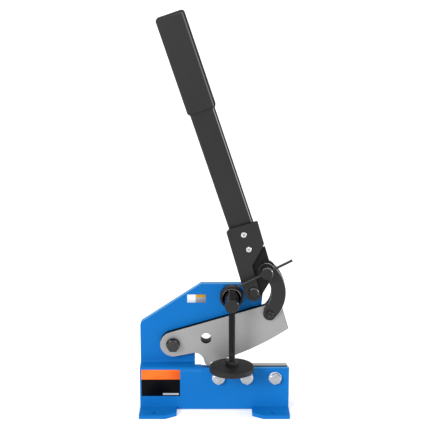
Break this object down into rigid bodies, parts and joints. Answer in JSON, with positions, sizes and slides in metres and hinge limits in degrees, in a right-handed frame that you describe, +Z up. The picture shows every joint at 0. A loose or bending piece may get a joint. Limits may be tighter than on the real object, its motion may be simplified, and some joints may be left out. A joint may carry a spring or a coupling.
{
  "type": "bench plate shear",
  "caption": "Hand-lever bench plate shear: bent-plate frame on feet, bowed upper blade driven by a forked lever and crescent links, with a screw hold-down.",
  "frame": {"origin": "centre of the rectangle of the four bench bolt holes, at the underside of the feet", "axes": "+X to the cutting end, -Y to the user, +Z up"},
  "size_m": [0.2374, 0.1342, 0.6208],
  "materials": {
    "frame_paint": "satin powder coat",
    "ground_steel": "ground",
    "zinc_steel": "bright zinc",
    "black_paint": "satin powder coat",
    "black_steel": "black oxide",
    "pad_black": "matt black",
    "grip_plastic": "soft matt"
  },
  "bodies": {
    "frame": {"front_plate": "frame_paint", "rear_plate": "frame_paint", "lower_blade": "ground_steel", "blade_bolts": "zinc_steel", "blade_washers": "zinc_steel", "pivot_bolt": "black_steel", "pivot_washer": "black_steel", "pivot_bush": "black_steel", "pivot_nut": "black_steel", "fulcrum_pin": "black_steel", "fulcrum_nut": "black_steel", "clamp_cup": "black_steel", "clamp_stud": "black_steel", "clamp_washer": "black_steel", "clamp_nut": "black_steel"},
    "lever": {"lever_front_plate": "black_paint", "lever_core_plate": "black_paint", "lever_rear_plate": "black_paint", "handle_tube": "black_paint", "handle_grip": "grip_plastic", "handle_bolts": "zinc_steel", "handle_nuts": "zinc_steel"},
    "upper_blade": {"upper_blade": "ground_steel"},
    "link": {"front_link": "black_paint", "rear_link": "black_paint", "link_bolt": "black_steel", "link_washer": "black_steel", "link_nut": "black_steel", "lock_nut": "black_steel"},
    "lock_screw": {"lock_screw": "black_steel"},
    "tommy_bar": {"tommy_bar": "black_steel"},
    "hold_down_rod": {"hold_down_rod": "black_steel", "rod_pin": "black_steel", "pad_nut": "black_steel"},
    "hold_down_pad": {"hold_down_pad": "pad_black"}
  },
  "joints": [
    {"name": "handle_swing", "type": "hinge", "parent": "frame", "child": "lever", "pos_m": [0.061, 0, 0.1905], "axis": [0, 1, 0], "range_deg": [0, 88]},
    {"name": "blade_swing", "type": "hinge", "parent": "frame", "child": "upper_blade", "pos_m": [-0.065, 0, 0.103], "axis": [0, 1, 0], "range_deg": [0, 19.1]},
    {"name": "link_swing", "type": "hinge", "parent": "upper_blade", "child": "link", "pos_m": [0.08634, 0, 0.15469], "axis": [0, 1, 0], "range_deg": [-11, 0]},
    {"name": "lock_turn", "type": "hinge", "parent": "link", "child": "lock_screw", "pos_m": [0.08027, 0, 0.22453], "axis": [0, 1, 0], "range_deg": [-360, 0]},
    {"name": "tommy_slide", "type": "slide", "parent": "lock_screw", "child": "tommy_bar", "axis": [0.891, 0, 0.454], "range_m": [-0.032, 0.038]},
    {"name": "hold_down_travel", "type": "slide", "parent": "frame", "child": "hold_down_rod", "axis": [0, 0, 1], "range_m": [-0.0023, 0.06]},
    {"name": "pad_swivel", "type": "hinge", "parent": "hold_down_rod", "child": "hold_down_pad", "pos_m": [0.0268, -0.04385, 0.08], "axis": [0, 0, 1], "continuous": true}
  ],
  "couplings": [
    {"joint": "blade_swing", "follows": "handle_swing", "ratio": 0.21704},
    {"joint": "link_swing", "follows": "handle_swing", "ratio": -0.125}
  ]
}
